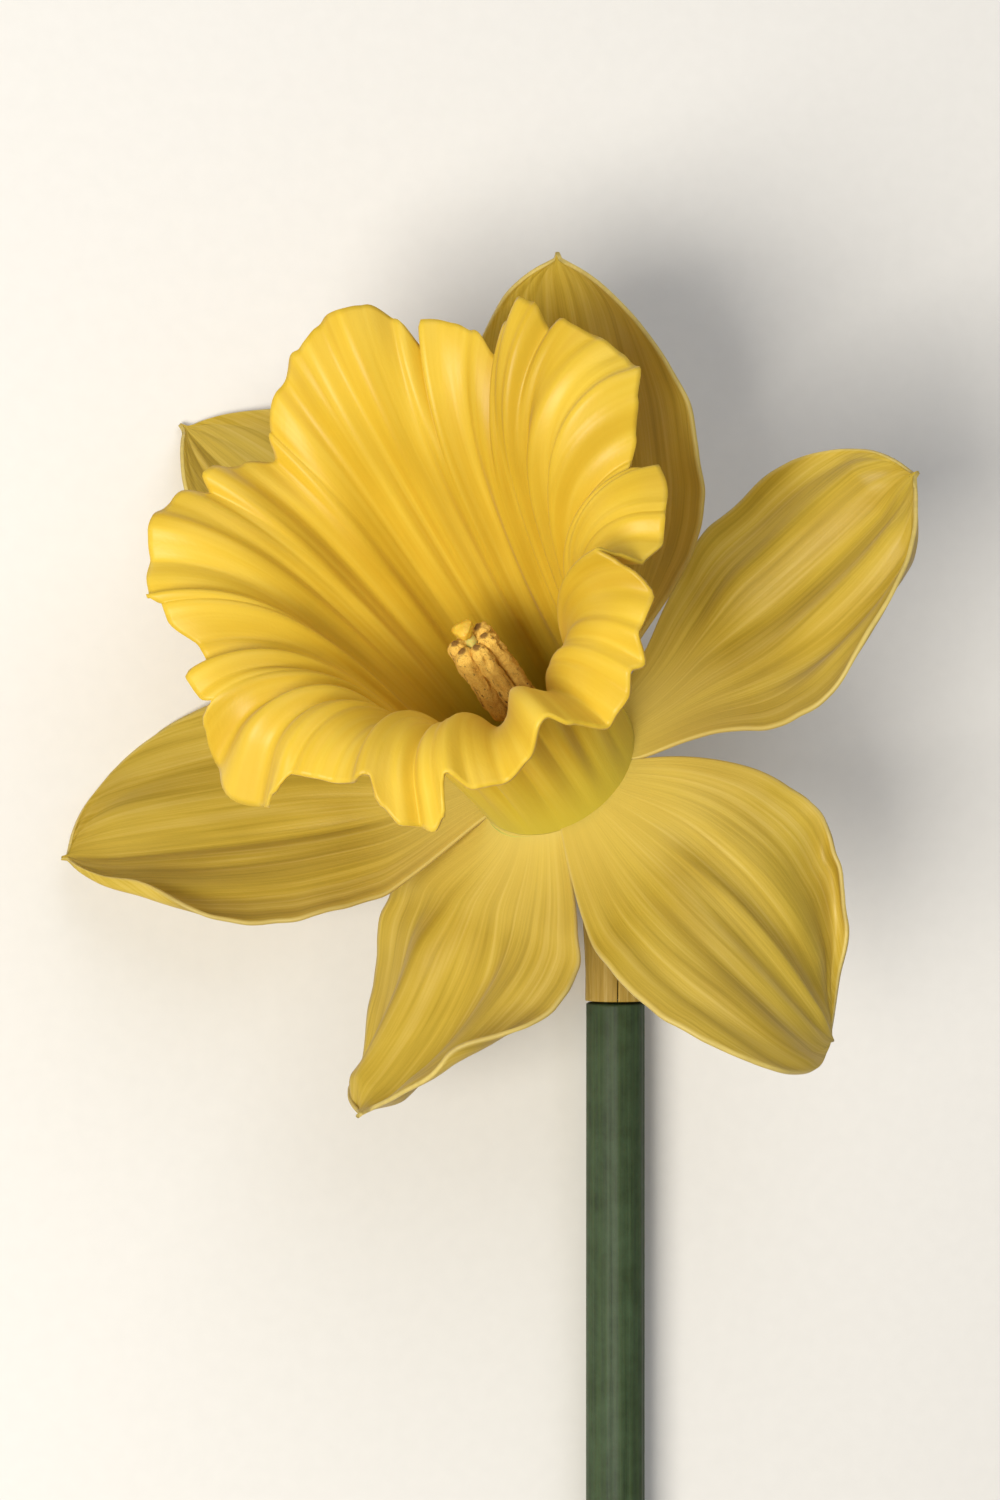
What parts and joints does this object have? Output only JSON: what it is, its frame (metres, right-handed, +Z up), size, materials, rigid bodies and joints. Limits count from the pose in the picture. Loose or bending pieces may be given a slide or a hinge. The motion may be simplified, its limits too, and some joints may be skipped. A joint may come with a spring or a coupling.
{
  "type": "daffodil flower",
  "caption": "Trumpet daffodil bloom on a short cut stem, laid on its side: spread tepals round a frilled corona holding stamens and a style, with ovary, pedicel and papery spathe.",
  "frame": {"origin": "middle of the underside of the whole flower's bounding box, on the surface it lies on", "axes": "+Z up; the stem lies along the Y axis with its cut end at -Y and the bloom at +Y; the trumpet faces up and towards -X and +Y"},
  "size_m": [0.0832, 0.1888, 0.0654],
  "materials": {
    "stem_skin": "smooth waxy green plant skin with fine lengthwise striations and a grey bloom",
    "spathe_paper": "dry papery tan sheath with brown veins",
    "ovary_skin": "smooth satin green plant skin",
    "tube_tissue": "greenish yellow petal tissue",
    "corona_tissue": "deep golden yellow petal tissue, satin, ribbed and frilled",
    "tepal_tissue": "pale yellow translucent petal tissue with fine lengthwise veins",
    "filament_tissue": "pale yellow smooth plant tissue",
    "pollen": "rough orange-tan pollen with dark brown specks",
    "stigma_tissue": "pale yellow moist plant tissue"
  },
  "bodies": {
    "root": {"stem": "stem_skin", "pedicel": "stem_skin", "spathe": "spathe_paper", "ovary": "ovary_skin", "perianth_tube": "tube_tissue", "corona": "corona_tissue", "outer_tepal_top": "tepal_tissue", "inner_tepal_upper_left": "tepal_tissue", "outer_tepal_left": "tepal_tissue", "inner_tepal_bottom": "tepal_tissue", "outer_tepal_lower_right": "tepal_tissue", "inner_tepal_right": "tepal_tissue", "filament_1": "filament_tissue", "anther_1": "pollen", "filament_2": "filament_tissue", "anther_2": "pollen", "filament_3": "filament_tissue", "anther_3": "pollen", "filament_4": "filament_tissue", "anther_4": "pollen", "filament_5": "filament_tissue", "anther_5": "pollen", "filament_6": "filament_tissue", "anther_6": "pollen", "style": "filament_tissue", "stigma": "stigma_tissue"}
  },
  "joints": []
}
